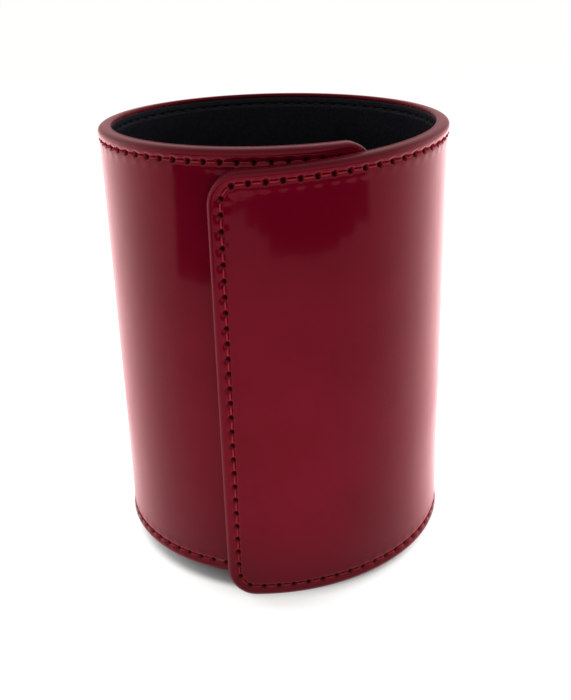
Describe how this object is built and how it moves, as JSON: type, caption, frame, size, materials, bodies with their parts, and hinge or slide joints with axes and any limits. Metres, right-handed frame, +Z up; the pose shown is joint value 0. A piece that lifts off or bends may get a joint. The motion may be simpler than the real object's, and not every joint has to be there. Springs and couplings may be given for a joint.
{
  "type": "dice cup",
  "caption": "Rolled patent-leather dice cup: a stitched strip with rounded corners, its overlapping flap held by hidden magnets round a lift-out base.",
  "frame": {"origin": "middle of the roll's outer box, at the height of the flap's lowest edge", "axes": "+Z up along the roll, out of the mouth; -Y towards the front, where the flap's free edge is; +X to the right of someone facing that edge"},
  "size_m": [0.0798, 0.0812, 0.1034],
  "materials": {
    "outer_leather": "deep red patent leather, high gloss",
    "stiffener": "compressed springy fibreboard",
    "lining": "black fine-grained leather, semi-matt",
    "thread": "twisted red polyester thread",
    "magnet": "nickel-plated",
    "board": "stiff fibreboard",
    "base_cover": "black grained leather",
    "base_thread": "twisted black polyester thread"
  },
  "bodies": {
    "panel_01": {"outer_leather_01": "outer_leather", "stiffener_01": "stiffener", "lining_01": "lining", "stitching_01": "thread", "flap_magnets": "magnet"},
    "panel_02": {"outer_leather_02": "outer_leather", "stiffener_02": "stiffener", "lining_02": "lining", "stitching_02": "thread"},
    "panel_03": {"outer_leather_03": "outer_leather", "stiffener_03": "stiffener", "lining_03": "lining", "stitching_03": "thread"},
    "panel_04": {"outer_leather_04": "outer_leather", "stiffener_04": "stiffener", "lining_04": "lining", "stitching_04": "thread"},
    "panel_05": {"outer_leather_05": "outer_leather", "stiffener_05": "stiffener", "lining_05": "lining", "stitching_05": "thread"},
    "panel_06": {"outer_leather_06": "outer_leather", "stiffener_06": "stiffener", "lining_06": "lining", "stitching_06": "thread"},
    "panel_07": {"outer_leather_07": "outer_leather", "stiffener_07": "stiffener", "lining_07": "lining", "stitching_07": "thread"},
    "panel_08": {"outer_leather_08": "outer_leather", "stiffener_08": "stiffener", "lining_08": "lining", "stitching_08": "thread"},
    "panel_09": {"outer_leather_09": "outer_leather", "stiffener_09": "stiffener", "lining_09": "lining", "stitching_09": "thread"},
    "panel_10": {"outer_leather_10": "outer_leather", "stiffener_10": "stiffener", "lining_10": "lining", "stitching_10": "thread"},
    "panel_11": {"outer_leather_11": "outer_leather", "stiffener_11": "stiffener", "lining_11": "lining", "stitching_11": "thread"},
    "panel_12": {"outer_leather_12": "outer_leather", "stiffener_12": "stiffener", "lining_12": "lining", "stitching_12": "thread", "tail_magnets": "magnet"},
    "panel_13": {"outer_leather_13": "outer_leather", "stiffener_13": "stiffener", "lining_13": "lining", "stitching_13": "thread"},
    "base": {"base_board": "board", "base_cover": "base_cover", "base_lining": "lining", "base_stitching": "base_thread"}
  },
  "joints": [
    {"name": "unroll", "type": "hinge", "parent": "panel_07", "child": "panel_06", "pos_m": [0.00513, 0.0402, 0.05], "axis": [0, 0, 1], "range_deg": [0, 12]},
    {"name": "bend_05", "type": "hinge", "parent": "panel_06", "child": "panel_05", "pos_m": [0.02521, 0.0314, 0.05], "axis": [0, 0, 1], "range_deg": [0, 12]},
    {"name": "bend_04", "type": "hinge", "parent": "panel_05", "child": "panel_04", "pos_m": [0.03772, 0.01324, 0.05], "axis": [0, 0, 1], "range_deg": [0, 12]},
    {"name": "bend_03", "type": "hinge", "parent": "panel_04", "child": "panel_03", "pos_m": [0.0388, -0.00893, 0.05], "axis": [0, 0, 1], "range_deg": [0, 12]},
    {"name": "bend_02", "type": "hinge", "parent": "panel_03", "child": "panel_02", "pos_m": [0.02798, -0.02847, 0.05], "axis": [0, 0, 1], "range_deg": [0, 12]},
    {"name": "bend_01", "type": "hinge", "parent": "panel_02", "child": "panel_01", "pos_m": [0.00838, -0.03945, 0.05], "axis": [0, 0, 1], "range_deg": [0, 12]},
    {"name": "bend_08", "type": "hinge", "parent": "panel_07", "child": "panel_08", "pos_m": [-0.01643, 0.03713, 0.05], "axis": [0, 0, -1], "range_deg": [0, 12]},
    {"name": "bend_09", "type": "hinge", "parent": "panel_08", "child": "panel_09", "pos_m": [-0.03304, 0.02326, 0.05], "axis": [0, 0, -1], "range_deg": [0, 12]},
    {"name": "bend_10", "type": "hinge", "parent": "panel_09", "child": "panel_10", "pos_m": [-0.03982, 0.00285, 0.05], "axis": [0, 0, -1], "range_deg": [0, 12]},
    {"name": "bend_11", "type": "hinge", "parent": "panel_10", "child": "panel_11", "pos_m": [-0.03486, -0.01794, 0.05], "axis": [0, 0, -1], "range_deg": [0, 12]},
    {"name": "bend_12", "type": "hinge", "parent": "panel_11", "child": "panel_12", "pos_m": [-0.0198, -0.03291, 0.05], "axis": [0, 0, -1], "range_deg": [0, 12]},
    {"name": "bend_13", "type": "hinge", "parent": "panel_12", "child": "panel_13", "pos_m": [0.00074, -0.03767, 0.05], "axis": [0, 0, -1], "range_deg": [0, 12]},
    {"name": "base_lift", "type": "slide", "parent": "panel_07", "child": "base", "axis": [0, 0, 1], "range_m": [0, 0.12]}
  ],
  "couplings": [
    {"joint": "bend_05", "follows": "unroll", "ratio": 1},
    {"joint": "bend_04", "follows": "unroll", "ratio": 1},
    {"joint": "bend_03", "follows": "unroll", "ratio": 1},
    {"joint": "bend_02", "follows": "unroll", "ratio": 1},
    {"joint": "bend_01", "follows": "unroll", "ratio": 1},
    {"joint": "bend_08", "follows": "unroll", "ratio": 1},
    {"joint": "bend_09", "follows": "unroll", "ratio": 1},
    {"joint": "bend_10", "follows": "unroll", "ratio": 1},
    {"joint": "bend_11", "follows": "unroll", "ratio": 1},
    {"joint": "bend_12", "follows": "unroll", "ratio": 1},
    {"joint": "bend_13", "follows": "unroll", "ratio": 1}
  ]
}
